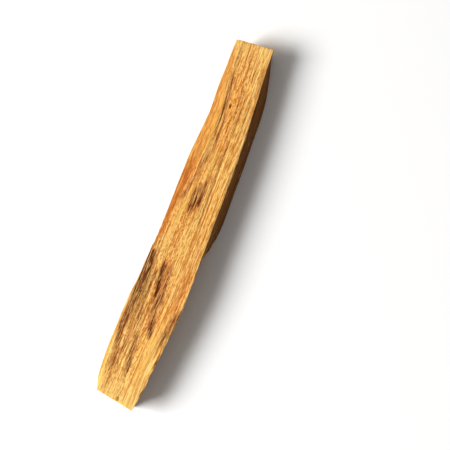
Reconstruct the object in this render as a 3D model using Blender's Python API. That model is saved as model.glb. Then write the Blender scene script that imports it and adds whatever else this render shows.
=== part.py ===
"""Palo santo stick: one billet of resinous wood, split along the grain and sawn off at both ends.

It lies on its flat underside with its length along X. The broad end is at -X. The flank on +Y is
split, with a bevel above it. The flank on -Y stands square along the narrow half and is torn under
along the broad half. The origin is under the middle of the bounding box, where the stick rests.
"""

import math

import bmesh
import bpy
import numpy as np
from mathutils import Vector, noise

MM = 0.001

# Driving dimensions
LENGTH = 100 * MM
BROAD_END_SLANT = math.radians(8.8)
NARROW_END_SLANT = math.radians(-3.0)
SAWN_RIM = 0.35 * MM
GRAIN_RUN = 24 * MM
RIDGE_PITCH = 1.5 * MM

# The outline: smooth curves through stops of (share of the length from the broad end, size).
# A reach is a distance from the middle line out to one flank.
TOP_HEIGHT = ((0.0, 8.7 * MM), (0.30, 9.5 * MM), (0.65, 9.4 * MM), (1.0, 8.4 * MM))
ARRIS_REACH = (
    (0.00, 5.75 * MM), (0.03, 6.10 * MM), (0.08, 6.60 * MM), (0.13, 7.05 * MM), (0.18, 7.65 * MM),
    (0.24, 8.15 * MM), (0.29, 8.60 * MM), (0.34, 8.55 * MM), (0.39, 8.40 * MM), (0.43, 8.20 * MM),
    (0.50, 7.95 * MM), (0.60, 7.70 * MM), (0.75, 7.30 * MM), (0.88, 6.25 * MM), (0.97, 5.50 * MM),
    (1.00, 5.35 * MM),
)
LEFT_REACH = (
    (0.00, 5.60 * MM), (0.03, 6.50 * MM), (0.10, 7.10 * MM), (0.17, 7.00 * MM), (0.23, 6.85 * MM),
    (0.31, 6.00 * MM), (0.42, 5.60 * MM), (0.68, 5.60 * MM), (0.80, 5.20 * MM), (0.88, 5.45 * MM),
    (0.94, 5.15 * MM), (1.00, 5.10 * MM),
)
BEVEL_WIDTH = (
    (0.00, 0.7 * MM), (0.10, 1.2 * MM), (0.25, 0.6 * MM), (0.42, 0.8 * MM), (0.52, 1.7 * MM),
    (0.70, 3.6 * MM), (0.80, 3.9 * MM), (0.88, 2.8 * MM), (0.95, 1.3 * MM), (1.00, 0.8 * MM),
)
LEFT_FOOT_REACH = ((0.0, 5.0 * MM), (0.2, 6.4 * MM), (0.5, 5.1 * MM), (0.8, 4.9 * MM), (1.0, 4.4 * MM))
RIGHT_FOOT_REACH = (
    (0.00, 3.4 * MM), (0.20, 4.6 * MM), (0.39, 5.2 * MM), (0.45, 7.0 * MM), (0.50, 7.8 * MM),
    (0.60, 7.8 * MM), (0.75, 7.4 * MM), (0.88, 6.6 * MM), (1.00, 3.4 * MM),
)
BEVEL_DROP_SHARE = 0.38
LEAST_BEVEL_DROP = 0.15 * MM

# How far the ridges stand on each side of the section, and how many steps that side has
TOP_RIDGES, TOP_STEPS = 0.22 * MM, 34
BEVEL_RIDGES, BEVEL_STEPS = 0.10 * MM, 6
LEFT_RIDGES, LEFT_STEPS = 0.30 * MM, 12
UNDERSIDE_STEPS = 12
SAWN_RIDGES, TORN_RIDGES, RIGHT_STEPS = 0.12 * MM, 0.55 * MM, 14
TORN_UP_TO, SAWN_FROM = 0.38, 0.52
LEDGE_HEIGHT, LEDGE_PITCH, LEDGE_SLOPE = 0.7 * MM, 3.6 * MM, 0.12
TORN_SET_BACK, TORN_LIP = 0.3 * MM, 1.2 * MM

STATIONS = 48
END_CROWDING = 0.5
SHARPEST_SMOOTH_FOLD = math.radians(35)

# Splits in the top face: shares of the length at both ends, reach towards +Y at both ends,
# sideways bow, half width and depth
SPLITS = (
    (0.64, 0.91, 0.1 * MM, 3.1 * MM, -0.8 * MM, 0.55 * MM, 0.45 * MM),
    (0.52, 0.62, -0.9 * MM, -1.2 * MM, 0.0, 0.60 * MM, 0.35 * MM),
    (0.05, 0.41, 3.9 * MM, 5.1 * MM, 1.4 * MM, 0.70 * MM, 0.40 * MM),
    (0.12, 0.39, 2.8 * MM, 2.5 * MM, 0.0, 0.45 * MM, 0.35 * MM),
    (0.20, 0.40, -2.4 * MM, 1.0 * MM, 0.3 * MM, 0.50 * MM, 0.40 * MM),
    (0.07, 0.25, -0.1 * MM, -0.2 * MM, 0.9 * MM, 0.50 * MM, 0.35 * MM),
    (0.27, 0.39, -1.8 * MM, -1.5 * MM, 0.0, 0.45 * MM, 0.30 * MM),
    (0.14, 0.27, -5.7 * MM, -7.0 * MM, 0.0, 0.45 * MM, 0.40 * MM),
    (0.78, 0.98, -2.5 * MM, -2.1 * MM, 0.0, 0.45 * MM, 0.25 * MM),
    (0.40, 0.66, -5.0 * MM, -4.1 * MM, 0.2 * MM, 0.40 * MM, 0.25 * MM),
)

# Channels where the splitting tool lifted the underside: the same values as a split's
CHANNELS = (
    (0.10, 0.46, 2.6 * MM, 1.9 * MM, 0.3 * MM, 0.80 * MM, 0.60 * MM),
    (0.58, 0.97, -2.4 * MM, -1.6 * MM, 0.0, 0.90 * MM, 0.70 * MM),
)


def clear_scene():
    for obj in list(bpy.data.objects):
        bpy.data.objects.remove(obj, do_unlink=True)


def along(stops, share):
    """The size at a share of the length, on a smooth curve through the (share, size) stops."""
    places, sizes = np.array(stops).T
    slopes = np.gradient(sizes, places)
    i = int(np.clip(np.searchsorted(places, share, side="right") - 1, 0, len(places) - 2))
    step = places[i + 1] - places[i]
    t = (share - places[i]) / step
    start = (1 + 2 * t) * (1 - t) ** 2 * sizes[i] + t * (1 - t) ** 2 * step * slopes[i]
    end = t * t * (3 - 2 * t) * sizes[i + 1] - t * t * (1 - t) * step * slopes[i + 1]
    return start + end


def smooth_step(low, high, value):
    t = min(1.0, max(0.0, (value - low) / (high - low)))
    return t * t * (3 - 2 * t)


def corners_at(share):
    """The section's five corners as (y, z): arris, bevel's inner edge, left edge, left foot, right foot."""
    top = along(TOP_HEIGHT, share)
    left = along(LEFT_REACH, share)
    bevel = along(BEVEL_WIDTH, share)
    drop = LEAST_BEVEL_DROP + BEVEL_DROP_SHARE * bevel
    return [
        Vector((-along(ARRIS_REACH, share), top)),
        Vector((left - bevel, top)),
        Vector((left, top - drop)),
        Vector((along(LEFT_FOOT_REACH, share), 0.0)),
        Vector((-along(RIGHT_FOOT_REACH, share), 0.0)),
    ]


def groove_depth(grooves, share, y):
    """How deep a point lies in the grooves, each of which fades out at both of its ends."""
    depth = 0.0
    for first, last, y_first, y_last, bow, half_width, most in grooves:
        t = (share - first) / (last - first)
        if 0.0 < t < 1.0:
            middle = y_first + (y_last - y_first) * t + bow * 4 * t * (1 - t)
            off_middle = (y - middle) / half_width
            depth += most * math.sqrt(math.sin(math.pi * t)) * math.exp(-off_middle ** 2)
    return depth


def ridges_at(x, y, z):
    """Long ridges that follow the grain, from -1 to 1."""
    return noise.noise(Vector((x / GRAIN_RUN, y / RIDGE_PITCH, z / RIDGE_PITCH)))


def ledges_at(x, y, z):
    """1 where a strip of wood tore away and 0 where it stayed, with a short slope between."""
    place = Vector((x / GRAIN_RUN, y / LEDGE_PITCH, z / LEDGE_PITCH))
    return smooth_step(0.0, LEDGE_SLOPE, noise.noise(place))


def section_at(share, x):
    """The points (y, z) round the stick at a share of its length, with their relief.

    The torn wood of the right flank starts under a lip, so the arris above it stays whole.
    """
    corners = corners_at(share)
    torn = 1 - smooth_step(TORN_UP_TO, SAWN_FROM, share)
    sides = (
        ("top", TOP_STEPS, TOP_RIDGES),
        ("bevel", BEVEL_STEPS, BEVEL_RIDGES),
        ("left", LEFT_STEPS, LEFT_RIDGES),
        ("underside", UNDERSIDE_STEPS, 0.0),
        ("right", RIGHT_STEPS, SAWN_RIDGES),
    )
    flat, sides_at = [], []
    for i, (side, steps, ridges) in enumerate(sides):
        start, end = corners[i], corners[(i + 1) % len(corners)]
        for step in range(steps):
            flat.append(start.lerp(end, step / steps))
            sides_at.append((side, ridges))

    points = []
    for i, (point, (side, ridges)) in enumerate(zip(flat, sides_at)):
        y, z = point
        if z == 0.0:
            points.append((y, groove_depth(CHANNELS, share, y)))
            continue
        across = flat[(i + 1) % len(flat)] - flat[i - 1]
        outward = Vector((-across.y, across.x)).normalized()
        ridge = ridges_at(x, y, z)
        push = ridges * ridge
        if side == "top":
            push -= groove_depth(SPLITS, share, y)
        if side == "right":
            torn_here = torn * smooth_step(0.0, TORN_LIP, corners[0].y - z)
            push += torn_here * (TORN_RIDGES - SAWN_RIDGES) * ridge
            push -= torn_here * (TORN_SET_BACK + LEDGE_HEIGHT * ledges_at(x, y, z))
        moved = point + outward * push
        points.append((moved.x, max(moved.y, 0.0)))
    return points


def slanted(x, share, y):
    """x moved so that the sections turn from one end's saw cut to the other's."""
    slant = BROAD_END_SLANT + (NARROW_END_SLANT - BROAD_END_SLANT) * share
    return x + y * math.tan(slant)


def drawn_in(points, by):
    """The points of a section, each moved the same distance towards its middle."""
    middle = Vector(np.mean(points, axis=0))
    moved = []
    for point in points:
        inward = (middle - Vector(point)).normalized()
        moved.append(tuple(Vector(point) + inward * by))
    return moved


def station_shares():
    """Shares of the length, closer together near the two ends."""
    t = np.linspace(0.0, 1.0, STATIONS + 1)
    return t - END_CROWDING * np.sin(2 * np.pi * t) / (2 * np.pi)


def stick_mesh():
    """The skin from end to end in rings of faces, with one flat sawn face at each end.

    Each section runs over the top towards +Y, so the faces are wound to look outwards.
    """
    built = bmesh.new()
    rings = []
    rim_share = SAWN_RIM / LENGTH
    skin_shares = np.clip(station_shares(), rim_share, 1 - rim_share)
    for share in (0.0, *skin_shares, 1.0):
        x = (share - 0.5) * LENGTH
        points = section_at(share, x)
        if share in (0.0, 1.0):
            points = drawn_in(points, SAWN_RIM)
        rings.append([built.verts.new((slanted(x, share, y), y, z)) for y, z in points])
    for near, far in zip(rings, rings[1:]):
        for i in range(len(near)):
            j = (i + 1) % len(near)
            built.faces.new((near[i], far[i], far[j], near[j]))
    built.faces.new(rings[0])
    built.faces.new(rings[-1][::-1])
    mesh = bpy.data.meshes.new("stick")
    built.to_mesh(mesh)
    built.free()
    return mesh


def centre_on_origin(mesh):
    """Moves the mesh so that the middle of its bounding box stands over the origin."""
    places = np.array([vertex.co for vertex in mesh.vertices])
    middle = (places.min(axis=0) + places.max(axis=0)) / 2
    for vertex in mesh.vertices:
        vertex.co.x -= middle[0]
        vertex.co.y -= middle[1]


def wood_material():
    material = bpy.data.materials.new("palo_santo_wood")
    material.use_nodes = True
    shader = material.node_tree.nodes["Principled BSDF"]
    shader.inputs["Base Color"].default_value = (0.72, 0.38, 0.10, 1.0)
    shader.inputs["Roughness"].default_value = 0.65
    shader.inputs["Metallic"].default_value = 0.0
    return material


def build_stick():
    mesh = stick_mesh()
    centre_on_origin(mesh)
    mesh.shade_smooth()
    mesh.set_sharp_from_angle(angle=SHARPEST_SMOOTH_FOLD)
    mesh.materials.append(wood_material())
    stick = bpy.data.objects.new("stick", mesh)
    bpy.context.scene.collection.objects.link(stick)
    return stick


clear_scene()
build_stick()
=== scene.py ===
# %% [markdown]
# # A palo santo stick
#
# Palo santo is a resinous wood that is split into short sticks and burned for its smell.
# The real thing has no parts: it grew as one piece, it was split along its grain with a blade,
# and a saw cut it to length. So its looks are all surface: long ridges where the fibres parted,
# torn places where they broke, brown resin in streaks, and two flat sawn ends.
#
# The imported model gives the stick's form at its real size. It is loaded first and never changed.
# Everything below is made around it, in the same place and in metres.

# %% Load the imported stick
import math

import bpy
import numpy as np
from mathutils import Matrix, Vector, noise
from mathutils.bvhtree import BVHTree


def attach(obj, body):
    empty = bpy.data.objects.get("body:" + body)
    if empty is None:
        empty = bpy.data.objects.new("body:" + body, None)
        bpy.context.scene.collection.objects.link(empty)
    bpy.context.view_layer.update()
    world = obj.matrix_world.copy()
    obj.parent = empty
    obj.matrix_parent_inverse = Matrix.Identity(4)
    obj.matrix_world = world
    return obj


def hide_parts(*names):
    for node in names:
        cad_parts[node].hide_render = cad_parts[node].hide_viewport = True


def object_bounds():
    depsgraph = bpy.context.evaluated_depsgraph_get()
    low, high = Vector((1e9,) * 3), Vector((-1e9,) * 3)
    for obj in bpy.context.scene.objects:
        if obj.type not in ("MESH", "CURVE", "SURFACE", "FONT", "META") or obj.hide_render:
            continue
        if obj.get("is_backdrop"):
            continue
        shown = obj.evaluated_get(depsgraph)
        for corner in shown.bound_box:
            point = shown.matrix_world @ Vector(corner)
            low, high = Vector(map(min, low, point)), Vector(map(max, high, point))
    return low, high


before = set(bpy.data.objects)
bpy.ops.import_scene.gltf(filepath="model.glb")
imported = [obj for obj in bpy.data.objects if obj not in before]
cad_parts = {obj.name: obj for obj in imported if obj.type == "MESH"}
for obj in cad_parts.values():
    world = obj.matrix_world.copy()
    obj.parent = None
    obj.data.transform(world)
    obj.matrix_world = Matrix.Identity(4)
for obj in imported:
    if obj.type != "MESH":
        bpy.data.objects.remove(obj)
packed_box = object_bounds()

MM = 0.001
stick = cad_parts["stick"]
stick_size = packed_box[1] - packed_box[0]
print("the stick measures", [round(side / MM, 1) for side in stick_size], "mm")

# %% [markdown]
# ## The camera
#
# The photograph looks down on the stick, so its length runs up the picture and to the right.
# The camera leans a little towards the shaded flank, which shows as a dark strip, and less towards
# the broad end. A camera's matrix is three directions and a place: what is right in the picture,
# what is up, what points back at the camera, and where it stands. Building those four by hand is
# the surest way to turn a measured angle in a picture into a camera.

# %% Place the camera
PICTURE_SPAN = 117.0 * MM
CAMERA_DISTANCE = 380 * MM
NEAREST_SEEN = 1 * MM
LEAN_TO_SHADED_FLANK = math.radians(12.6)
LEAN_TO_BROAD_END = math.radians(3.0)
LENGTH_IN_PICTURE = math.radians(68.6)
PICTURE_CENTRE_RIGHT, PICTURE_CENTRE_UP = 10.07 * MM, -0.65 * MM
SENSOR_WIDTH = 36.0

back = Vector((-math.tan(LEAN_TO_BROAD_END), -math.tan(LEAN_TO_SHADED_FLANK), 1.0)).normalized()
lengthwise = (Vector((1, 0, 0)) - back * back.x).normalized()
crosswise = back.cross(lengthwise)
right = lengthwise * math.cos(LENGTH_IN_PICTURE) - crosswise * math.sin(LENGTH_IN_PICTURE)
up = lengthwise * math.sin(LENGTH_IN_PICTURE) + crosswise * math.cos(LENGTH_IN_PICTURE)
aim = Vector((0, 0, stick_size.z)) + right * PICTURE_CENTRE_RIGHT + up * PICTURE_CENTRE_UP

camera = bpy.data.objects.new("camera", bpy.data.cameras.new("camera"))
camera.data.sensor_width = SENSOR_WIDTH
camera.data.lens = SENSOR_WIDTH * CAMERA_DISTANCE / PICTURE_SPAN
camera.data.clip_start = NEAREST_SEEN
turn = Matrix((right, up, back)).transposed().to_4x4()
camera.matrix_world = Matrix.Translation(aim + back * CAMERA_DISTANCE) @ turn
bpy.context.scene.collection.objects.link(camera)
bpy.context.scene.camera = camera
print(f"lens {camera.data.lens:.1f} mm at {CAMERA_DISTANCE / MM:.0f} mm")

# %% [markdown]
# ## The floor and the light
#
# A pale floor stands in for the white paper of a studio. The light comes from the photograph's
# left. Wood grain only shows when light grazes it, so one softbox does nearly all of the work: it
# is broad enough for soft shadow edges and low enough to rake the ridges. The surroundings add just
# enough light that the shaded flank stays brown and not black.

# %% Lay the floor
FLOOR_SIDE = 4.0
FLOOR_WHITE = (0.93, 0.93, 0.925, 1.0)
FLOOR_ROUGHNESS = 0.9

half = FLOOR_SIDE / 2
floor_corners = [(-half, -half, 0), (half, -half, 0), (half, half, 0), (-half, half, 0)]
floor_mesh = bpy.data.meshes.new("floor")
floor_mesh.from_pydata(floor_corners, [], [(0, 1, 2, 3)])
floor = bpy.data.objects.new("floor", floor_mesh)
bpy.context.scene.collection.objects.link(floor)
paper = bpy.data.materials.new("white_paper")
paper.use_nodes = True
paper_shader = paper.node_tree.nodes["Principled BSDF"]
paper_shader.inputs["Base Color"].default_value = FLOOR_WHITE
paper_shader.inputs["Roughness"].default_value = FLOOR_ROUGHNESS
floor_mesh.materials.append(paper)
floor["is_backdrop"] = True
print(f"floor {FLOOR_SIDE:.0f} m square")

# %% Hang the softbox and set the room's light
SOFTBOX_SIDE = 0.70
SOFTBOX_DISTANCE = 1.2
SOFTBOX_POWER = 20.0
SOFTBOX_HEIGHT_ANGLE = math.radians(44)
SOFTBOX_FROM = Vector((-0.55, 0.83, 0.0)).normalized()
ROOM_LIGHT = 0.28
ROOM_COLOUR = (1.0, 0.98, 0.95, 1.0)

softbox = bpy.data.objects.new("softbox", bpy.data.lights.new("softbox", "AREA"))
softbox.data.size = SOFTBOX_SIDE
softbox.data.energy = SOFTBOX_POWER
toward = SOFTBOX_FROM * math.cos(SOFTBOX_HEIGHT_ANGLE) + Vector((0, 0, math.sin(SOFTBOX_HEIGHT_ANGLE)))
softbox.location = toward * SOFTBOX_DISTANCE
softbox.rotation_euler = toward.to_track_quat("Z", "Y").to_euler()
bpy.context.scene.collection.objects.link(softbox)

room = bpy.data.worlds.new("room")
room.use_nodes = True
room.node_tree.nodes["Background"].inputs["Color"].default_value = ROOM_COLOUR
room.node_tree.nodes["Background"].inputs["Strength"].default_value = ROOM_LIGHT
bpy.context.scene.world = room
bpy.context.scene.view_settings.view_transform = "Standard"
print(f"softbox {SOFTBOX_SIDE} m wide, {math.degrees(SOFTBOX_HEIGHT_ANGLE):.0f} degrees above the floor")

# %% [markdown]
# ## Reading the stick's form
#
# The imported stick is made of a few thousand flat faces: right in size, but too coarse for wood.
# A finer skin could be sculpted by hand, or made by subdividing those faces, which would keep their
# kinks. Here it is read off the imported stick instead, as a log is measured with callipers: at many
# places along the length, rays go out from the middle in a plane that leans as the saw cuts do, and
# stop at the surface. The stops are then spaced evenly round each section and smoothed a little.
# All of the modelling is done in millimetres, the unit that a wood worker would use.

# %% Find the two saw cuts
PROBE = 2.0
MIDDLE_HEIGHT = 4.7

packed_corners = [vertex.co / MM for vertex in stick.data.vertices]
surface = BVHTree.FromPolygons(packed_corners, [face.vertices for face in stick.data.polygons])


def saw_cut(end):
    """Where a sawn end crosses the middle line, and how much its x grows for each mm of y."""
    found = []
    for y in (-PROBE, PROBE):
        start = Vector((0, y, MIDDLE_HEIGHT))
        found.append(surface.ray_cast(start, Vector((end, 0, 0)))[0].x)
    return sum(found) / 2, (found[1] - found[0]) / (2 * PROBE)


BROAD_CUT, BROAD_SLOPE = saw_cut(-1)
NARROW_CUT, NARROW_SLOPE = saw_cut(1)
LENGTH = NARROW_CUT - BROAD_CUT
print(f"saw cuts at x = {BROAD_CUT:.2f} and {NARROW_CUT:.2f} mm")

# %% Read the sections
STATIONS = 276
ROUND = 288
RAYS = 1152
RIM = 0.45
SOFT_ROUND, SOFT_ALONG = 0.16, 0.9


def smoothed(values, spread, wrap):
    """Values averaged along their first axis with a bell of `spread` steps."""
    reach = int(math.ceil(3 * spread))
    bell = np.exp(-0.5 * (np.arange(-reach, reach + 1) / spread) ** 2)
    bell /= bell.sum()
    if wrap:
        padded = np.concatenate([values[-reach:], values, values[:reach]])
    else:
        before = 2 * values[0] - values[reach:0:-1]
        after = 2 * values[-1] - values[-2:-reach - 2:-1]
        padded = np.concatenate([before, values, after])
    return sum(weight * padded[k:k + len(values)] for k, weight in enumerate(bell))


def section(share):
    """ROUND points (x, y, z) of the outline at a share of the length, from the underside's middle."""
    cut = BROAD_CUT + LENGTH * share
    slope = BROAD_SLOPE + (NARROW_SLOPE - BROAD_SLOPE) * share
    start = Vector((cut, 0, MIDDLE_HEIGHT))
    flanks = [surface.ray_cast(start, Vector((slope * side, side, 0)))[0].y for side in (-1, 1)]
    middle = Vector((cut + slope * sum(flanks) / 2, sum(flanks) / 2, MIDDLE_HEIGHT))
    stops = []
    for angle in np.linspace(-math.pi / 2, 1.5 * math.pi, RAYS, endpoint=False):
        ray = Vector((slope * math.cos(angle), math.cos(angle), math.sin(angle)))
        stops.append(surface.ray_cast(middle, ray)[0])
    stops = np.array(stops)
    steps = np.linalg.norm(np.roll(stops, -1, axis=0) - stops, axis=1)
    travelled = np.concatenate([[0], np.cumsum(steps)])
    even = np.linspace(0, travelled[-1], RAYS, endpoint=False)
    closed = np.vstack([stops, stops[:1]])
    spaced = np.stack([np.interp(even, travelled, closed[:, k]) for k in range(3)], axis=1)
    spaced = smoothed(spaced, SOFT_ROUND / (travelled[-1] / RAYS), wrap=True)
    return spaced[::RAYS // ROUND]


rim_share = RIM / LENGTH
shares = np.linspace(rim_share, 1 - rim_share, STATIONS)
sections = np.array([section(share) for share in shares])
sections = smoothed(sections, SOFT_ALONG / (LENGTH / STATIONS), wrap=False)
sections[:, :, 2] = np.maximum(sections[:, :, 2], 0.0)
print(f"{STATIONS} sections of {ROUND} points, {LENGTH / STATIONS:.2f} mm apart")

# %% [markdown]
# ## The grain
#
# Fibres run along the stick, but not quite straight: they bow with the split faces and wander a
# little. Every ridge, streak and colour has to follow the same fibres, or the wood looks printed.
# So one set of grain coordinates is worked out for the whole stick: x along the fibres, and two
# sideways distances with the bow and the wander taken out. Noise that is drawn out along x in these
# coordinates gives ridges on the mesh, and later gives colour in the material. Noise looks different
# at every seed, so each use of it on the mesh has a seed of its own.

# %% Work out the grain coordinates
BOW_SPREAD = 7.0
WANDER, WANDER_RUN, WANDER_PITCH = 0.30, 36.0, 7.0
SIDEWAYS_SEED, UPWARDS_SEED = 3.1, 17.9

station_x = BROAD_CUT + LENGTH * shares
middles = (sections[:, :, 1].max(axis=1) + sections[:, :, 1].min(axis=1)) / 2
bow = smoothed(middles, BOW_SPREAD / (LENGTH / STATIONS), wrap=False)


def streaky_noise(places, run, pitch, seed):
    """Noise from -1 to 1 in streaks about `run` mm long and `pitch` mm across."""
    scaled = places / (run, pitch, pitch) + seed
    return np.array([noise.noise(Vector(place)) for place in scaled])


def grain_of(places):
    """Grain coordinates in mm for places in mm."""
    grain = places.copy()
    grain[:, 1] -= np.interp(places[:, 0], station_x, bow)
    grain[:, 1] += WANDER * streaky_noise(places, WANDER_RUN, WANDER_PITCH, SIDEWAYS_SEED)
    grain[:, 2] += WANDER * streaky_noise(places, WANDER_RUN, WANDER_PITCH, UPWARDS_SEED)
    return grain


base = sections.reshape(-1, 3)
grain = grain_of(base)
print(f"the grain bows {bow.max() - bow.min():.1f} mm sideways over the length")

# %% [markdown]
# ## What the top face shows
#
# The brown streaks are resin that filled the wood along old wounds. On the top face their places
# come from the photograph, so each is a short list of stops along the stick, as someone would
# draw it with a brush. A brush stroke has soft sides and fades out at both ends. The same brush
# lays the pale and brown bands of the growth layers, the calm places where few fibres show, and the
# rosy places where the wood is redder.
#
# Each stroke has an amount, a half width in mm, and stops. A stop is a share of the length, counted
# from the broad end, and a y in mm.

# %% Brush strokes
STROKES_FROM_Y = 0.26
LONGEST_FADE, FADE_SHARE = 2.5, 0.35
STROKE_POINTS, STROKE_SOFT = 60, 4.0


def smooth_step(low, high, value):
    """From 0 at `low` to 1 at `high`, with soft ends."""
    t = np.clip((value - low) / (high - low), 0.0, 1.0)
    return t * t * (3 - 2 * t)


def stroke(places, stops, half_width):
    """From 0 to 1: how strongly a stroke through its stops covers the places."""
    where, side = np.array(stops).T
    where = BROAD_CUT + LENGTH * where
    fade = min(LONGEST_FADE, FADE_SHARE * (where[-1] - where[0]))
    smooth_x = np.linspace(where[0], where[-1], STROKE_POINTS)
    smooth_y = STROKES_FROM_Y + smoothed(np.interp(smooth_x, where, side), STROKE_SOFT, wrap=False)
    x, y = places[:, 0], places[:, 1]
    off = (y - np.interp(x, smooth_x, smooth_y)) / half_width
    begun = smooth_step(where[0] - fade, where[0] + fade, x)
    ended = smooth_step(where[-1] + fade, where[-1] - fade, x)
    return np.exp(-off ** 2) * begun * ended


def painted(strokes, places):
    """The sum of a set of strokes at the places."""
    return sum(amount * stroke(places, stops, half_width) for amount, half_width, stops in strokes.values())


print(f"a stroke fades over {LONGEST_FADE} mm at most")

# %% Resin streaks
RESIN_STROKES = {
    "upper_split": (
        0.62, 0.50,
        [(0.70, 0.3), (0.76, 0.6), (0.80, 0.9), (0.845, 1.8), (0.88, 2.5), (0.915, 3.2)],
    ),
    "line_by_bevel": (0.46, 0.68, [(0.54, 3.2), (0.585, 2.7), (0.63, 2.0), (0.665, 1.5), (0.70, 0.8)]),
    "small_knot": (0.95, 1.20, [(0.53, -0.4), (0.56, -1.0), (0.61, -1.2)]),
    "left_of_knot": (0.58, 0.50, [(0.52, 0.9), (0.55, 0.9), (0.59, 0.9)]),
    "left_edge_low": (0.78, 0.85, [(0.075, 4.4), (0.10, 4.7), (0.14, 5.3), (0.19, 5.7)]),
    "left_edge": (1.55, 0.85, [(0.19, 5.7), (0.22, 5.4), (0.28, 5.1), (0.34, 5.1), (0.39, 5.0)]),
    "left_edge_dark": (1.20, 1.00, [(0.29, 5.4), (0.34, 5.5), (0.39, 5.3)]),
    "beside_left_edge": (0.76, 0.50, [(0.12, 3.3), (0.18, 2.9), (0.23, 2.6), (0.30, 2.6), (0.36, 2.5)]),
    "middle": (0.98, 0.82, [(0.185, -1.9), (0.25, -1.1), (0.29, -0.2), (0.33, 0.8), (0.385, 1.1)]),
    "middle_low": (0.90, 0.60, [(0.08, 0.2), (0.12, 0.6), (0.16, 1.0), (0.19, 1.1)]),
    "beside_middle": (0.90, 0.55, [(0.27, -2.0), (0.32, -1.1), (0.345, -1.0), (0.38, -0.9)]),
    "right_edge": (0.70, 0.90, [(0.17, -5.9), (0.22, -6.3), (0.28, -7.2)]),
    "right_edge_low": (0.60, 0.40, [(0.05, -6.1), (0.10, -6.2), (0.17, -6.5)]),
    "near_narrow_end": (0.45, 0.45, [(0.66, -3.0), (0.78, -3.0), (0.86, -2.7), (0.97, -2.1)]),
    # The last two are painted shade, dark marks laid as resin where a notch and a pit in the rim are.
    "notch_shade": (0.95, 0.38, [(0.818, 0.30), (0.829, 0.50)]),
    "pit_shade_in_the_rim": (1.20, 0.45, [(-0.010, -0.2), (0.012, -0.1)]),
}
print(f"{len(RESIN_STROKES)} resin streaks")

# %% Growth layers: an amount above 0 is paler and yellower, one below 0 is browner
BAND_STROKES = {
    "gold_narrow_half": (0.15, 1.3, [(0.50, -5.6), (0.75, -4.9), (1.00, -3.6)]),
    "gold_by_arris": (1.60, 0.9, [(0.77, -5.2), (0.82, -4.6), (0.88, -4.4), (0.96, -4.0)]),
    "pale_middle_narrow": (1.40, 1.5, [(0.63, -1.3), (0.76, -1.4), (0.84, -0.9), (0.96, 0.1)]),
    "gold_by_knot": (1.60, 0.9, [(0.36, 3.3), (0.44, 3.0), (0.50, 2.3), (0.60, 1.9)]),
    "yellow_by_split": (1.10, 0.9, [(0.65, 3.0), (0.74, 2.3), (0.80, 2.7), (0.86, 3.9), (0.92, 4.7)]),
    "gold_middle": (1.10, 1.1, [(0.37, -1.2), (0.44, -1.4), (0.52, -2.6), (0.60, -2.8), (0.67, -2.2)]),
    "brown_line_right": (-0.80, 0.6, [(0.30, -4.1), (0.37, -4.1), (0.46, -4.1), (0.54, -4.3)]),
    "brown_right_of_middle": (-0.80, 0.7, [(0.57, -4.1), (0.62, -4.1), (0.66, -4.3)]),
    "brown_by_knot": (-0.70, 0.6, [(0.59, 0.2), (0.64, -0.1), (0.66, -0.2)]),
    "brown_by_bevel": (-0.40, 0.6, [(0.56, 4.0), (0.61, 3.5), (0.65, 3.1)]),
    "brown_by_arris": (-0.60, 0.6, [(0.62, -6.5), (0.68, -6.3), (0.76, -6.2)]),
    "tan_middle": (-0.30, 0.6, [(0.40, 1.3), (0.50, 1.1)]),
    "red_by_middle_streak": (-0.90, 2.2, [(0.22, -2.0), (0.30, -0.6), (0.37, -0.4)]),
    "brown_right": (-0.55, 1.2, [(0.20, -5.4), (0.30, -6.2)]),
    "brown_by_the_streaks": (-1.10, 1.0, [(0.18, -3.2), (0.26, -3.3), (0.33, -2.8)]),
    "yellow_broad_half": (1.90, 1.5, [(-0.02, -3.9), (0.10, -4.2), (0.18, -3.8), (0.28, -4.4)]),
    "gold_left_low": (0.80, 0.9, [(0.00, 2.1), (0.08, 2.1), (0.17, 2.2)]),
    "gold_rim": (0.55, 0.8, [(0.02, 5.9), (0.12, 6.6), (0.24, 6.6)]),
    "pale_broad_end": (0.80, 6.0, [(-0.03, 0.0), (0.07, 0.0)]),
    "upper_chip": (2.20, 0.45, [(0.278, -7.6), (0.294, -7.8)]),
    "lower_chip": (2.20, 0.45, [(0.186, -7.2), (0.202, -7.4)]),
    "pale_splinter": (2.00, 0.35, [(0.818, 1.1), (0.838, 1.3)]),
}
print(f"{len(BAND_STROKES)} growth bands")

# %% Calm places and rosy places
CALM_STROKES = {
    "gold_beside_the_split": (0.75, 1.2, [(0.64, 3.6), (0.74, 2.2), (0.80, 2.7), (0.88, 4.2)]),
    "yellow_broad_half": (0.50, 1.8, [(-0.02, -3.9), (0.10, -4.2), (0.20, -3.8)]),
    "gold_by_the_knot": (0.65, 0.8, [(0.42, 3.1), (0.50, 2.4), (0.62, 1.8)]),
    "pale_middle": (0.50, 1.3, [(0.62, -0.8), (0.68, -0.4), (0.74, -0.6)]),
}
ROSY_STROKES = {
    "left_edge": (1.4, 1.5, [(0.44, 5.4), (0.52, 4.9), (0.58, 4.4), (0.66, 4.1)]),
    "beside_the_bevel": (1.0, 1.0, [(0.55, 3.2), (0.61, 2.8), (0.66, 2.0)]),
    "middle_of_the_narrow_half": (1.0, 1.6, [(0.70, -1.4), (0.80, -0.8), (0.88, -0.4), (1.00, 0.4)]),
    "between_the_streaks": (1.0, 1.8, [(0.20, -2.2), (0.30, -0.8), (0.38, 0.6)]),
    "right_edge": (0.8, 1.0, [(0.22, -5.6), (0.30, -5.9), (0.38, -5.6)]),
}
print(f"{len(CALM_STROKES)} calm places and {len(ROSY_STROKES)} rosy ones")
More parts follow.
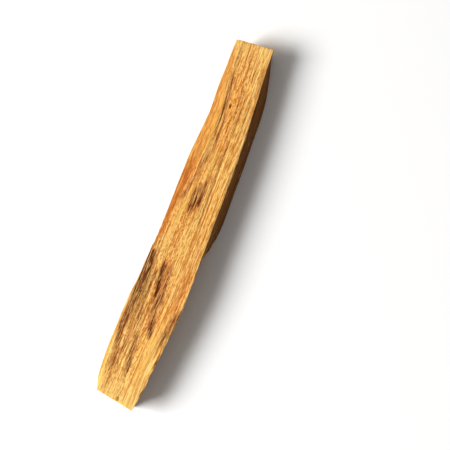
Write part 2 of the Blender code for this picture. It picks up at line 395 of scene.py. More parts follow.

# %% [markdown]
# ## The skin
#
# Split wood is rough in its own way: long shallow ridges with fine ones on their backs, hairline
# cracks where the fibres started to part, and short pits where they tore, mostly in the resin
# streaks. All of it is real relief in the mesh here, so that it catches the light and stays when the
# mesh leaves Blender. Bump in the material only adds what is finer than the mesh.
#
# What is rough, worn, brown with resin or darkened with painted shade depends on which way the wood
# faces. A normal tells that: its z is 1 where the skin faces up and -1 underneath, and its y is -1 on
# the shaded flank. Each range below says where such a facing begins and where it is full.

# %% Which way each point faces
FACES_UP, FACES_DOWN = (0.55, 0.85), (-0.6, -0.9)
FACES_THE_SHADE = (-0.45, -0.85)
SHOWS_FROM_ABOVE = (-0.1, 0.3)
BEVEL_FACES_LEFT, BEVEL_FACES_UP = (0.10, 0.34), (0.35, 0.6)


def outward(rows):
    """Unit normals of a grid of sections. The first point of each is on the underside, so faces down."""
    around = np.roll(rows, -1, axis=1) - np.roll(rows, 1, axis=1)
    forward = np.gradient(rows, axis=0)
    normal = np.cross(around, forward)
    normal /= np.linalg.norm(normal, axis=2, keepdims=True)
    return -normal if normal[0, 0, 2] > 0 else normal


facing = outward(sections)
flat_facing = facing.reshape(-1, 3)
facing_left, facing_up = flat_facing[:, 1], flat_facing[:, 2]
on_top = smooth_step(*FACES_UP, facing_up)
underneath = smooth_step(*FACES_DOWN, facing_up)
from_above = smooth_step(*SHOWS_FROM_ABOVE, facing_up)
shaded_flank = smooth_step(*FACES_THE_SHADE, facing_left)
bevel = smooth_step(*BEVEL_FACES_LEFT, facing_left) * smooth_step(*BEVEL_FACES_UP, facing_up)
print(f"{on_top.mean():.0%} of the skin faces up and {underneath.mean():.0%} faces down")

# %% Where the edges are, and where the flank is torn
TURN_REACH = 3
EDGE_TURNS = (math.radians(24), math.radians(62))
TORN_TOWARDS_BROAD_END = (0.0, -12.0)

tangent = np.roll(sections, -TURN_REACH, axis=1) - sections
tangent /= np.linalg.norm(tangent, axis=2, keepdims=True)
turning = np.arccos(np.clip((tangent * np.roll(tangent, TURN_REACH, axis=1)).sum(axis=2), -1, 1))
edge = smooth_step(*EDGE_TURNS, turning).reshape(-1)
torn_flank = shaded_flank * smooth_step(*TORN_TOWARDS_BROAD_END, base[:, 0])
print(f"edges take {edge.mean():.0%} of the skin")

# %% Lay the strokes on the skin, and resin on the sides that the photograph hides
MOST_RESIN = 1.2
HIDDEN_RESIN, HIDDEN_RUN, HIDDEN_PITCH, HIDDEN_SEED = 0.8, 46.0, 3.2, 41.3
HIDDEN_FROM_NOISE = (0.18, 0.42)
BEVEL_CALM = 0.45

resin_top = np.clip(painted(RESIN_STROKES, base), 0, MOST_RESIN) * from_above
hidden_streaks = smooth_step(*HIDDEN_FROM_NOISE, streaky_noise(grain, HIDDEN_RUN, HIDDEN_PITCH, HIDDEN_SEED))
resin = np.maximum(resin_top, hidden_streaks * (1 - on_top) * HIDDEN_RESIN)
tone = painted(BAND_STROKES, base) * on_top
calm = np.maximum(BEVEL_CALM * bevel, painted(CALM_STROKES, base))
rosy = np.clip(painted(ROSY_STROKES, base), 0, 1) * from_above
print(f"resin covers {resin.mean():.0%} of the skin")

# %% Raise the ridges
# Each set of ridges has its height, run and pitch in mm. The bevel was cut more cleanly.
RIDGES = ((0.075, 40.0, 1.30), (0.070, 26.0, 0.60), (0.045, 14.0, 0.36))
RIDGE_SEED = 7.7
BEVEL_SMOOTHS_RIDGES = 0.35

ridges = sum(
    height * streaky_noise(grain, run, pitch, RIDGE_SEED * (k + 1))
    for k, (height, run, pitch) in enumerate(RIDGES)
)
ridges = ridges * (1 - BEVEL_SMOOTHS_RIDGES * bevel)
print(f"ridges up to {ridges.max():.2f} mm high")

# %% Sink the cracks and the torn pits
CRACK_DEPTH, CRACK_WIDTH, CRACK_RUN, CRACK_PITCH, CRACK_SEED = 0.12, 0.11, 30.0, 1.5, 23.0
CRACKED_RUN, CRACKED_PITCH, CRACKED_SEED, CRACKED_FROM_NOISE = 13.0, 3.0, 57.0, (-0.05, 0.30)
PIT_DEPTH, PIT_RUN, PIT_PITCH, PIT_SEED, PIT_FROM_NOISE = 0.17, 2.6, 0.40, 71.0, (0.02, 0.34)
TORN_EVERYWHERE, TORN_ON_THE_FLANK = 0.15, 0.55
BEVEL_SPARES_CRACKS, BEVEL_SPARES_PITS, UNDERSIDE_SPARES_PITS = 0.75, 0.7, 0.9

crack_line = np.exp(-(streaky_noise(grain, CRACK_RUN, CRACK_PITCH, CRACK_SEED) / CRACK_WIDTH) ** 2)
cracked_noise = streaky_noise(grain, CRACKED_RUN, CRACKED_PITCH, CRACKED_SEED)
cracks = CRACK_DEPTH * crack_line * smooth_step(*CRACKED_FROM_NOISE, cracked_noise)
pits = PIT_DEPTH * smooth_step(*PIT_FROM_NOISE, streaky_noise(grain, PIT_RUN, PIT_PITCH, PIT_SEED))
torn = np.clip(TORN_EVERYWHERE + resin + TORN_ON_THE_FLANK * torn_flank, 0, 1)
torn = torn * (1 - UNDERSIDE_SPARES_PITS * underneath)
depth_cut = cracks * (1 - BEVEL_SPARES_CRACKS * bevel) + pits * torn * (1 - BEVEL_SPARES_PITS * bevel)
print(f"cracks and pits up to {depth_cut.max():.2f} mm deep")

# %% Put the relief on the skin
# The underside only gets hollows, so that it still rests flat. Edges are worn down a little.
UNDERSIDE_FROM, UNDERSIDE_RELIEF = 0.05, 0.8
EDGE_WEAR = 0.05
DEEP = 0.2

relief = ridges - depth_cut
relief = np.where(underneath > UNDERSIDE_FROM, np.minimum(relief, 0.0) * UNDERSIDE_RELIEF, relief)
relief -= EDGE_WEAR * edge
# Depth in cracks and pits, kept for painted shade in the hollows.
hollow = np.clip(depth_cut / DEEP, 0, 1)
skin_rows = (base + flat_facing * relief[:, None]).reshape(STATIONS, ROUND, 3)
skin_rows[:, :, 2] = np.maximum(skin_rows[:, :, 2], 0.0)
print(f"relief from {relief.min():.2f} to {relief.max():.2f} mm")

# %% [markdown]
# ## The sawn ends
#
# A saw leaves a flat face with fine scratches across it, and it frays the rim. Each end is made as
# rings that shrink towards the middle of the face. The first two turn the corner, so the rim is
# rounded as a worn edge is, and the rest lie in the plane of the cut. The scratches are relief too.

# %% Close the ends
# Each turn of the rim is how far it lies behind the cut, and how far it is drawn in, in mm.
RIM_TURNS = ((0.14, 0.03), (0.0, 0.12))
FACE_RINGS, INNERMOST_STEP = 20, 0.35
SCRATCH_DEPTH, SCRATCH_PITCH, SCRATCH_LEAN = 0.035, 0.55, 0.22
SAW_ROUGHNESS, SAW_PITCH, SAW_SEED = 0.8, 0.5, 5.0

innermost_share = INNERMOST_STEP / (FACE_RINGS + INNERMOST_STEP)


def sawn_rings(rim, cut, slope, inward):
    """Rings from the last section to the middle of a sawn face; `inward` is 1 or -1 along x."""
    middle = rim.mean(axis=0)
    away = rim - middle
    reach = np.linalg.norm(away[:, 1:], axis=1, keepdims=True)
    rings = []
    for behind_cut, drawn_in in RIM_TURNS:
        ring = middle + away * (1 - drawn_in / reach)
        ring[:, 0] = cut + slope * ring[:, 1] + inward * behind_cut
        rings.append(ring)
    face = rings[-1]
    for ring_share in np.linspace(1.0, innermost_share, FACE_RINGS + 1)[1:]:
        ring = middle + (face - middle) * ring_share
        scratch = np.sin((ring[:, 2] + SCRATCH_LEAN * ring[:, 1]) * 2 * math.pi / SCRATCH_PITCH)
        rough = streaky_noise(ring * (0, 1, 1) + (cut, 0, 0), 1.0, SAW_PITCH, SAW_SEED)
        depth = SCRATCH_DEPTH * (0.5 + 0.5 * scratch + SAW_ROUGHNESS * rough)
        ring[:, 0] = cut + slope * ring[:, 1] + inward * depth
        rings.append(ring)
    return rings


broad_rings = sawn_rings(skin_rows[0], BROAD_CUT, BROAD_SLOPE, 1)[::-1]
narrow_rings = sawn_rings(skin_rows[-1], NARROW_CUT, NARROW_SLOPE, -1)
rows = np.array([*broad_rings, *skin_rows, *narrow_rings])
print(f"{len(rows)} rings from end to end")

# %% Build the skin's mesh
count = len(rows) * ROUND
last_ring = count - ROUND
vertices = np.vstack([rows.reshape(-1, 3), rows[0].mean(axis=0), rows[-1].mean(axis=0)])
here = np.arange(last_ring).reshape(-1, ROUND)
ahead = here + ROUND
quads = np.stack([here, ahead, np.roll(ahead, -1, axis=1), np.roll(here, -1, axis=1)], axis=2)
around = np.arange(ROUND)
beside = np.roll(around, -1)
broad_fan = [(count, int(a), int(b)) for a, b in zip(around, beside)]
narrow_fan = [(count + 1, int(b), int(a)) for a, b in zip(around + last_ring, beside + last_ring)]
skin_faces = quads.reshape(-1, 4).tolist() + broad_fan + narrow_fan


def add_piece(name, places, faces):
    """A smooth-shaded object in the scene, from places in mm."""
    mesh = bpy.data.meshes.new(name)
    mesh.from_pydata((places * MM).tolist(), [], faces)
    mesh.shade_smooth()
    piece = bpy.data.objects.new(name, mesh)
    bpy.context.scene.collection.objects.link(piece)
    return piece


skin = add_piece("stick_skin", vertices, skin_faces)
print(f"{len(vertices)} vertices and {sum(len(face) - 2 for face in skin_faces)} triangles")

# %% Store what the material needs at each vertex
CAP_ROWS = len(broad_rings)
SAWN_AT_THE_RIM = 0.5


def on_all_rows(values):
    """Spreads values of the sections over the ends' rings too, and adds the two middle points."""
    grid = values.reshape(STATIONS, ROUND)
    full = np.vstack([np.repeat(grid[:1], CAP_ROWS, axis=0), grid, np.repeat(grid[-1:], CAP_ROWS, axis=0)])
    return np.append(full.reshape(-1), [0.0, 0.0])


def store(piece, name, values):
    """Keeps one number, or three, for each vertex of a piece."""
    kind, field = ("FLOAT", "value") if values.ndim == 1 else ("FLOAT_VECTOR", "vector")
    attribute = piece.data.attributes.new(name, kind, "POINT")
    attribute.data.foreach_set(field, np.asarray(values, dtype=np.float32).ravel())


sawn = np.ones((len(rows), ROUND))
sawn[CAP_ROWS:-CAP_ROWS] = 0.0
sawn[CAP_ROWS - 1] = sawn[-CAP_ROWS] = SAWN_AT_THE_RIM
sawn = np.append(sawn.reshape(-1), [1.0, 1.0])
from_cut = np.minimum(
    vertices[:, 0] - BROAD_CUT - BROAD_SLOPE * vertices[:, 1],
    NARROW_CUT + NARROW_SLOPE * vertices[:, 1] - vertices[:, 0],
)
of_the_long_faces = {
    "resin": resin, "tone": tone, "edge": edge, "bevel": bevel,
    "calm": calm, "rosy": rosy, "hollow": hollow, "shaded": shaded_flank,
}
store(skin, "grain", grain_of(vertices))
for name, values in of_the_long_faces.items():
    store(skin, name, on_all_rows(values) * (1 - sawn))
store(skin, "from_cut", from_cut)
store(skin, "sawn", sawn)
print("stored grain,", ", ".join(of_the_long_faces) + ", from_cut and sawn")

# %% [markdown]
# ## Stray fibres
#
# Wherever wood is split, a few fibres come loose: slivers along the edges, fuzz in the torn
# places, a frayed rim at a saw cut. Hair curves would be quick to grow, but they don't survive an
# export, so each sliver is a thin closed mesh with three sides. It follows the skin's own grid
# lines, which run along the grain, and lifts off towards its tip. All of them make one piece.

# %% One sliver
SLIVER_ENDS = 0.15
SWELLS_FROM, SWELLS_OVER = 0.12, 0.8
ROOT_SUNK = 0.02
SLIVER_TOP = 0.8


def sliver(spine, lift_to, half_width):
    """Points and faces of one sliver on a spine of (places, normals), thickest in its middle."""
    places, normals = spine
    share = np.linspace(0, 1, len(places))
    forward = np.gradient(places, axis=0)
    forward /= np.linalg.norm(forward, axis=1, keepdims=True)
    sideways = np.cross(normals, forward)
    swelling = np.sin(np.pi * (share * SWELLS_OVER + SWELLS_FROM))
    girth = half_width * (SLIVER_ENDS + (1 - SLIVER_ENDS) * swelling)[:, None]
    middle = places + normals * (lift_to * share ** 2 - ROOT_SUNK)[:, None]
    ring = [middle - sideways * girth, middle + sideways * girth, middle + normals * girth * SLIVER_TOP]
    points = np.stack(ring, axis=1).reshape(-1, 3)
    faces = []
    for k in range(len(places) - 1):
        a = 3 * k
        faces += [(a, a + 3, a + 4, a + 1), (a + 1, a + 4, a + 5, a + 2), (a + 2, a + 5, a + 3, a)]
    end = 3 * (len(places) - 1)
    faces += [(0, 1, 2), (end + 2, end + 1, end)]
    return points, faces


# %% Where slivers come loose
# How likely a sliver is: a little everywhere, more on edges, in resin and on the torn flank.
LOOSE_ANYWHERE, LOOSE_ON_EDGES, LOOSE_IN_RESIN, LOOSE_ON_TORN_FLANK = 0.02, 0.9, 1.1, 0.7
EDGES_ABOVE = -0.2
NEAT_STATIONS, NEAT_SHARE = 30, 0.6

loose = LOOSE_ANYWHERE + LOOSE_ON_EDGES * edge * (facing_up > EDGES_ABOVE)
loose = (loose + LOOSE_IN_RESIN * resin_top + LOOSE_ON_TORN_FLANK * torn_flank) * (1 - underneath)
loose = loose.reshape(STATIONS, ROUND)
loose[-NEAT_STATIONS:] *= NEAT_SHARE
chance = (loose / loose.sum()).reshape(-1)
print(f"slivers are {chance.max() / chance.mean():.0f} times as likely at the worst spot as on average")

# %% Grow the slivers
SLIVERS, SLIVER_STEPS = 420, 7
SHORTEST_REACH, LONGEST_REACH = 5, 22
LEAST_LIFT, MOST_LIFT = 0.02, 0.22
THINNEST, THICKEST = 0.03, 0.085
SLIVER_SEED = 11
ABOVE_THE_FLOOR = 0.02
WORN_AND_LIT_LIKE_AN_EDGE, FAR_FROM_A_CUT = 0.8, 20.0

dice = np.random.default_rng(SLIVER_SEED)
sliver_points, sliver_faces = [], []
for spot in dice.choice(len(chance), SLIVERS, p=chance):
    i, j = divmod(int(spot), ROUND)
    reach = int(dice.integers(SHORTEST_REACH, LONGEST_REACH))
    step = 1 if dice.random() < 0.5 else -1
    stations = np.clip(i + step * np.linspace(0, reach, SLIVER_STEPS), 0, STATIONS - 1).round().astype(int)
    if len(set(stations)) < SLIVER_STEPS - 1:
        continue
    stations = np.unique(stations)[::step]
    spine = skin_rows[stations, j], facing[stations, j]
    lift = float(dice.uniform(LEAST_LIFT, MOST_LIFT))
    points, faces = sliver(spine, lift, float(dice.uniform(THINNEST, THICKEST)))
    start = sum(len(part) for part in sliver_points)
    sliver_points.append(points)
    sliver_faces += [tuple(corner + start for corner in face) for face in faces]
fibre_places = np.vstack(sliver_points)
fibre_places[:, 2] = np.maximum(fibre_places[:, 2], ABOVE_THE_FLOOR)
fibres = add_piece("stray_fibres", fibre_places, sliver_faces)
store(fibres, "grain", grain_of(fibre_places))
# Slivers get the paleness of an edge, which is partly wear and partly painted highlight.
store(fibres, "edge", np.full(len(fibre_places), WORN_AND_LIT_LIKE_AN_EDGE))
store(fibres, "from_cut", np.full(len(fibre_places), FAR_FROM_A_CUT))
print(f"{len(sliver_points)} slivers with {len(sliver_faces)} faces")

# %% [markdown]
# ## Writing a material as sums
#
# A wood material is mostly arithmetic: this noise times that mask, one minus the other. Placed by
# hand, that is dozens of Math nodes. The class below wraps a node's output so that Python's own
# signs add those nodes, and `1 - mask` reads as it does on paper. Colours are mixed, not added,
# and any other node comes from the one method `node`.

# %% A wire that does sums
class Wire:
    """One output of a material's nodes."""

    tree = None

    def __init__(self, socket):
        self.socket = socket

    @classmethod
    def node(cls, kind, settings=None, inputs=None, output=0):
        """Adds a node: its settings first, then a value or a wire for each of its sockets."""
        made = cls.tree.nodes.new(kind)
        for name, value in (settings or {}).items():
            setattr(made, name, value)
        for name, value in (inputs or {}).items():
            if isinstance(value, Wire):
                cls.tree.links.new(value.socket, made.inputs[name])
            else:
                made.inputs[name].default_value = value
        return cls(made.outputs[output])

    @classmethod
    def sum(cls, operation, first, second):
        """A Math node for two values, or a Vector Math node where either is a vector."""
        wires = [part for part in (first, second) if isinstance(part, Wire)]
        is_vector = isinstance(second, tuple) or any(wire.socket.type == "VECTOR" for wire in wires)
        kind = "ShaderNodeVectorMath" if is_vector else "ShaderNodeMath"
        return cls.node(kind, {"operation": operation}, {0: first, 1: second})

    def __add__(self, other):
        return Wire.sum("ADD", self, other)

    def __sub__(self, other):
        return Wire.sum("SUBTRACT", self, other)

    def __mul__(self, other):
        return Wire.sum("MULTIPLY", self, other)

    def __rsub__(self, other):
        return Wire.sum("SUBTRACT", other, self)

    __radd__ = __add__
    __rmul__ = __mul__


# %% Masks, mixes and what is stored at the vertices
def between(value, low, high, to_low=0.0, to_high=1.0):
    """Turns the range low to high into to_low to to_high, with soft ends."""
    sockets = {"Value": value, "From Min": low, "From Max": high, "To Min": to_low, "To Max": to_high}
    return Wire.node("ShaderNodeMapRange", {"interpolation_type": "SMOOTHSTEP"}, sockets)


def mix(amount, first, second):
    """A colour between two colours, or one laid over the other by a mask."""
    colours = [(*part, 1.0) if isinstance(part, tuple) else part for part in (first, second)]
    sockets = {0: amount, 6: colours[0], 7: colours[1]}
    return Wire.node("ShaderNodeMix", {"data_type": "RGBA"}, sockets, output=2)


def at_vertex(name, output="Fac"):
    """What was stored at the vertices under a name."""
    return Wire.node("ShaderNodeAttribute", {"attribute_name": name}, output=output)


def laid_over(colour, layers):
    """Lays colours on in turn. Each says what it follows, where it starts and is full, and how strongly."""
    for followed, starts_at, full_at, strength, layer_colour in layers:
        colour = mix(between(followed, starts_at, full_at) * strength, colour, layer_colour)
    return colour


wood = bpy.data.materials.new("split_palo_santo")
wood.use_nodes = True
Wire.tree = wood.node_tree
shader = wood.node_tree.nodes["Principled BSDF"]
print("the material", wood.name, "is ready for its nodes")

# %% [markdown]
# ## The wood
#
# The colour is built up as the wood itself is. Growth layers come first: they are shells round a
# centre that lies outside the stick, so their distance from that centre gives bands on the long
# faces and arcs on the ends, from one formula. Over them go the fibres, from wide ones to
# hairlines, then flecks, dashes and the dark cuts of vessels. Each of them is a noise drawn out
# along the grain: where it is high the wood is darker, where it is low it is paler, or the other
# way round. Then come the redder facet of the bevel, the resin, painted shade in the cracks and
# pits, and last what handling and sawing did: pale edges, which are partly painted highlight, and
# pale ends. Painted shade darkens the flank that faces away from the light. The colours are the ones
# that the photograph shows in its sunlit and shaded parts.

# %% Colours of the wood
CREAM = (0.98, 0.66, 0.22)
GOLD = (0.92, 0.49, 0.085)
ORANGE = (0.82, 0.335, 0.055)
TAN = (0.60, 0.215, 0.036)
FACET_GOLD = (0.66, 0.315, 0.070)
FACET_SALMON = (0.60, 0.225, 0.052)
FACET_RED = (0.31, 0.085, 0.012)
ROSY_TINT = (1.07, 0.90, 0.85)
ROSE = (0.72, 0.300, 0.085)
PALE_ROSE = (0.90, 0.520, 0.190)
LINE_BROWN = (0.46, 0.150, 0.024)
RESIN_BROWN = (0.43, 0.140, 0.027)
# Dark resin, and also the painted shade in cracks and pits
RESIN_DARK_AND_HOLLOW_SHADE = (0.170, 0.042, 0.007)
RESIN_BLACK = (0.070, 0.013, 0.002)
# Painted shade for the flank that faces away from the light
PAINTED_FLANK_SHADE = (0.11, 0.030, 0.003)
END_CREAM = (0.98, 0.68, 0.21)
print("the palest wood is", CREAM, "and the darkest is", RESIN_BLACK)

# %% Streaks along the grain
# Each has its run and pitch in mm, then the detail and roughness of the noise, and its seed.
STREAKS = {
    "fibre": (30.0, 0.45, 2.0, 0.40, 2.0),
    "wide_fibre": (32.0, 0.90, 2.0, 0.50, 214.0),
    "hairline": (30.0, 0.30, 1.0, 0.50, 171.0),
    "fleck": (2.4, 0.27, 2.0, 0.60, 31.0),
    "dash": (0.8, 0.30, 1.0, 0.50, 119.0),
    "vessel": (1.9, 0.24, 1.0, 0.50, 63.0),
    "vessel_zone": (16.0, 2.2, 1.0, 0.50, 12.0),
    "ragged_edge": (5.0, 0.36, 3.0, 0.65, 88.0),
    "speckle": (1.8, 0.30, 2.0, 0.60, 45.0),
    "strand": (16.0, 0.45, 2.0, 0.50, 97.0),
    "torn_fibre": (2.6, 0.28, 2.0, 0.50, 151.0),
    # Breaks up the pale edges, which are partly wear and partly painted highlight.
    "wear_and_highlight": (6.0, 3.0, 2.0, 0.50, 5.0),
    "pore": (3.0, 0.20, 1.0, 0.50, 63.0),
    "end_stain": (40.0, 2.4, 2.0, 0.50, 141.3),
}
NOISE_MIDDLE = 0.5

along_grain = at_vertex("grain", "Vector")
along_x = Wire.node("ShaderNodeSeparateXYZ", inputs={0: along_grain})
across_y = Wire.node("ShaderNodeSeparateXYZ", inputs={0: along_grain}, output=1)


def streaks(name):
    """Noise from 0 to 1, drawn out along the grain."""
    run, pitch, detail, roughness, seed = STREAKS[name]
    place = along_grain * (1 / run, 1 / pitch, 1 / pitch) + (seed, seed, seed)
    sockets = {"Vector": place, "Scale": 1.0, "Detail": detail, "Roughness": roughness}
    return Wire.node("ShaderNodeTexNoise", inputs=sockets)


print(f"{len(STREAKS)} kinds of streak")

# %% Growth layers
CENTRE_OF_GROWTH = (0.0, -31.0, -27.0)
LAYERS_PER_MM, LAYERS_CHANGE_ALONG, LAYER_DETAIL = 0.75, 0.012, 2.5
LEVELS_ON_THE_LONG_FACES, TONE_STRENGTH = (0.30, 0.70), 0.45

from_centre = along_grain * (0.0, 1.0, 1.0) - CENTRE_OF_GROWTH
shell = Wire.node("ShaderNodeVectorMath", {"operation": "LENGTH"}, {0: from_centre}, output="Value")
shell_sockets = {"X": along_x * LAYERS_CHANGE_ALONG, "Y": shell * LAYERS_PER_MM}
shell_place = Wire.node("ShaderNodeCombineXYZ", inputs=shell_sockets)
growth_sockets = {"Vector": shell_place, "Scale": 1.0, "Detail": LAYER_DETAIL}
growth = Wire.node("ShaderNodeTexNoise", inputs=growth_sockets)
level = between(growth, *LEVELS_ON_THE_LONG_FACES) + at_vertex("tone") * TONE_STRENGTH
colour = laid_over(TAN, [
    (level, -0.15, 0.50, 1.0, ORANGE),
    (level, 0.25, 0.95, 1.0, GOLD),
    (level, 0.85, 1.45, 0.7, CREAM),
])
print("growth layers are laid")

# %% Fibres, flecks and vessels
# Dashes stay on calm wood too, but weaker, and they weaken towards the right edge.
DASHES_ON_CALM_WOOD = 0.25
DASHES_ACROSS = (-4.0, -0.5, 0.45, 1.0)
VESSEL_FROM_NOISE, ZONE_FROM_NOISE = (0.61, 0.72), (0.38, 0.66)
VESSELS_ANYWHERE, VESSELS_IN_ZONES = 0.30, 0.60

fibre, wide_fibre, hairline = streaks("fibre"), streaks("wide_fibre"), streaks("hairline")
fleck, dash = streaks("fleck"), streaks("dash")
plain = 1 - at_vertex("calm")
dash_here = (DASHES_ON_CALM_WOOD + (1 - DASHES_ON_CALM_WOOD) * plain) * between(across_y, *DASHES_ACROSS)
colour = laid_over(colour, [
    (wide_fibre, 0.48, 0.36, plain * 0.65, TAN),
    (wide_fibre, 0.52, 0.66, plain * 0.50, CREAM),
    (fibre, 0.49, 0.36, plain * 0.75, LINE_BROWN),
    (fibre, 0.51, 0.64, plain * 0.60, CREAM),
    (hairline, 0.54, 0.63, plain * 0.85, LINE_BROWN),
    (hairline, 0.46, 0.37, plain * 0.60, CREAM),
    (fleck, 0.51, 0.62, plain * 0.75, LINE_BROWN),
    (fleck, 0.48, 0.37, plain * 0.50, CREAM),
    (dash, 0.53, 0.64, dash_here * 0.66, LINE_BROWN),
    (dash, 0.46, 0.34, dash_here * 0.50, CREAM),
])
vessel = between(streaks("vessel"), *VESSEL_FROM_NOISE)
vessel_zone = between(streaks("vessel_zone"), *ZONE_FROM_NOISE)
vessels_here = (VESSELS_ANYWHERE + VESSELS_IN_ZONES * vessel_zone) * plain
colour = mix(vessel * vessels_here, colour, RESIN_BROWN)
print("fibres, flecks and vessels are laid")

# %% [markdown]
# ## The facet of the bevel
#
# The left edge is a bevel that was split more cleanly than the top, so its colour has no dashes. In
# the photograph it turns from gold near the narrow end to red in the middle of the length. It could
# be a piece with its own material, but wood has no seam there. So the facet is a second colour in
# the same material, mixed in where the bevel's value is high, and the wide fibres make its border
# uneven.

# %% The facet, and the rosy places
OUTER_SIDE = (2.6, 4.6)
RED_REACHES_FURTHER = 9.0
RED_TO_SALMON, SALMON_TO_GOLD = (4.0, 13.0), (12.0, 27.0)
GOLD_LOST_OUTSIDE = 0.65
FACET_FADES_IN = (-35.0, -15.0, 0.15, 0.85)
FACET_FROM_BEVEL, FACET_RAGGEDNESS = (0.40, 0.95), 0.8

outer_side = between(across_y, *OUTER_SIDE)
facet = mix(between(along_x - outer_side * RED_REACHES_FURTHER, *RED_TO_SALMON), FACET_RED, FACET_SALMON)
facet = laid_over(facet, [
    (along_x, *SALMON_TO_GOLD, 1 - outer_side * GOLD_LOST_OUTSIDE, FACET_GOLD),
    (fibre, 0.50, 0.62, 0.32, GOLD),
    (fibre, 0.49, 0.38, 0.50, FACET_RED),
    (hairline, 0.54, 0.63, 0.45, FACET_RED),
    (fleck, 0.51, 0.62, 0.60, FACET_RED),
    (fleck, 0.48, 0.37, 0.35, GOLD),
])
uneven_bevel = at_vertex("bevel") + (wide_fibre - NOISE_MIDDLE) * FACET_RAGGEDNESS
facet_here = between(uneven_bevel, *FACET_FROM_BEVEL)
colour = mix(facet_here * between(along_x, *FACET_FADES_IN), colour, facet)
colour = mix(at_vertex("rosy"), colour, colour * ROSY_TINT)
print("the facet is laid")

# %% [markdown]
# ## The resin
#
# Resin soaks the wood around a streak and turns it brown. Where there is more of it, it clots into
# dark and black dashes between the fibres, and where fibres tore out of it they show pale again.
# One number at each vertex, the strokes' amount, steers all of this. Noise breaks it up, so that no
# streak has a smooth border.

# %% Resin, and painted shade in the hollows
SOAKED_FROM_RESIN, SOAKED_RAGGEDNESS = (0.16, 0.60), 1.2
ROSE_FROM_STRANDS, TORN_FROM_NOISE = (0.47, 0.36), (0.54, 0.68)
BROWN_STRENGTH, ROSE_STRENGTH, DARK_STRENGTH, BLACK_STRENGTH = 0.66, 0.60, 0.88, 0.75
TORN_STRENGTH, PAINTED_HOLLOW_SHADE_AMOUNT = 0.50, 0.35

resin_here = at_vertex("resin")
speckle, strand = streaks("speckle"), streaks("strand")


def clotted(resin_share, speckle_share, strand_share, starts_at, full_at):
    """Where resin is thick enough to darken, broken up by speckles and strands."""
    broken_up = (speckle - NOISE_MIDDLE) * speckle_share + (strand - NOISE_MIDDLE) * strand_share
    return between(resin_here * resin_share + broken_up, starts_at, full_at)


uneven_resin = resin_here + (streaks("ragged_edge") - NOISE_MIDDLE) * SOAKED_RAGGEDNESS
soaked = between(uneven_resin, *SOAKED_FROM_RESIN)
dark = clotted(resin_share=0.85, speckle_share=2.0, strand_share=2.4, starts_at=0.34, full_at=0.60)
black = clotted(resin_share=0.65, speckle_share=2.4, strand_share=1.8, starts_at=0.54, full_at=0.80)
colour = mix(soaked * BROWN_STRENGTH, colour, RESIN_BROWN)
colour = mix(between(strand, *ROSE_FROM_STRANDS) * soaked * ROSE_STRENGTH, colour, ROSE)
colour = mix(dark * soaked * DARK_STRENGTH, colour, RESIN_DARK_AND_HOLLOW_SHADE)
colour = mix(black * soaked * BLACK_STRENGTH, colour, RESIN_BLACK)
torn_fibre = between(streaks("torn_fibre"), *TORN_FROM_NOISE) * soaked
colour = mix(torn_fibre * TORN_STRENGTH, colour, PALE_ROSE)
# Painted shade: cracks and pits are darkened by their depth.
colour = mix(at_vertex("hollow") * PAINTED_HOLLOW_SHADE_AMOUNT, colour, RESIN_DARK_AND_HOLLOW_SHADE)
print("resin is laid")

# %% Sawn ends, pale edges that are partly painted highlight, and painted shade on the flank
LEVELS_ON_THE_ENDS = (0.35, 0.62)
PALE_NEAR_CUT, PALE_STRENGTH = (6.5, 0.0), 0.30
WEAR_AND_HIGHLIGHT_FROM_NOISE, WEAR_AND_HIGHLIGHT_STRENGTH = (0.30, 0.55), 0.70
PAINTED_FLANK_SHADE_STRENGTH = 0.90

end_grain = mix(between(growth, *LEVELS_ON_THE_ENDS), ORANGE, END_CREAM)
end_grain = laid_over(end_grain, [
    (streaks("pore"), 0.60, 0.72, 0.7, RESIN_BROWN),
    (streaks("end_stain"), 0.56, 0.70, 0.6, TAN),
])
sawn_here = at_vertex("sawn")
near_cut = between(at_vertex("from_cut"), *PALE_NEAR_CUT) * (1 - sawn_here)
# Pale edges: partly wear, partly a painted highlight where the light catches the arris.
worn_and_highlight = at_vertex("edge") * between(streaks("wear_and_highlight"), *WEAR_AND_HIGHLIGHT_FROM_NOISE) * (1 - soaked)
colour = mix(near_cut * PALE_STRENGTH, colour, END_CREAM)
colour = mix(worn_and_highlight * WEAR_AND_HIGHLIGHT_STRENGTH, colour, CREAM)
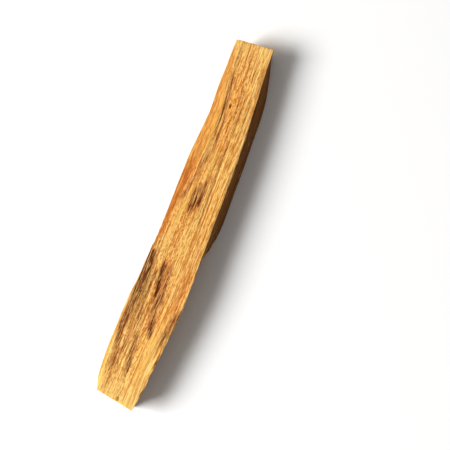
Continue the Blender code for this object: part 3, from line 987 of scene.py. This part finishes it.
# Painted shade: the flank that faces away from the light is darkened nearly to black.
colour = mix(at_vertex("shaded") * PAINTED_FLANK_SHADE_STRENGTH, colour, PAINTED_FLANK_SHADE)
colour = mix(sawn_here, colour, end_grain)
Wire.tree.links.new(colour.socket, shader.inputs["Base Color"])
print("ends, edges and the shaded flank are laid")

# %% [markdown]
# ## How the wood takes the light
#
# Dry split wood is dull, and resin makes it a little smoother. So the roughness falls where the
# wood is soaked and varies with the fibres. A Bump node adds the finest fibres, flecks and vessel
# cuts, which are smaller than the mesh can show.

# %% Roughness and bump
DRY_ROUGHNESS, RESIN_ROUGHNESS, FIBRE_ROUGHNESS = 0.68, 0.50, 0.15
FIBRE_HEIGHT, FLECK_HEIGHT, VESSEL_DEPTH = 0.6, 0.25, 0.5
BUMP_STRENGTH, BUMP_DISTANCE = 0.7, 0.08 * MM
SHINE = 0.05

rough = between(soaked, 0.0, 1.0, DRY_ROUGHNESS, RESIN_ROUGHNESS)
rough = rough + (fibre - NOISE_MIDDLE) * FIBRE_ROUGHNESS
Wire.tree.links.new(rough.socket, shader.inputs["Roughness"])
height = fibre * FIBRE_HEIGHT + fleck * FLECK_HEIGHT - vessel * VESSEL_DEPTH
bump_sockets = {"Strength": BUMP_STRENGTH, "Distance": BUMP_DISTANCE, "Height": height}
bump = Wire.node("ShaderNodeBump", inputs=bump_sockets)
Wire.tree.links.new(bump.socket, shader.inputs["Normal"])
shader.inputs["Specular IOR Level"].default_value = SHINE
print(f"{len(wood.node_tree.nodes)} nodes make the wood")

# %% [markdown]
# ## Putting it together
#
# The skin takes the place of the imported stick, which stays hidden inside it for the physics. The
# loose slivers ride along. At the end, the script prints how much the looks add to the size of the
# imported stick.

# %% Dress the stick
for piece in (skin, fibres):
    piece.data.materials.append(wood)
    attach(piece, "root")
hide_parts("stick")

shown_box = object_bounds()
growth_of_box = [(b - a) / MM for a, b in zip(packed_box[1] - packed_box[0], shown_box[1] - shown_box[0])]
print("the looks add", [round(side, 2) for side in growth_of_box], "mm")
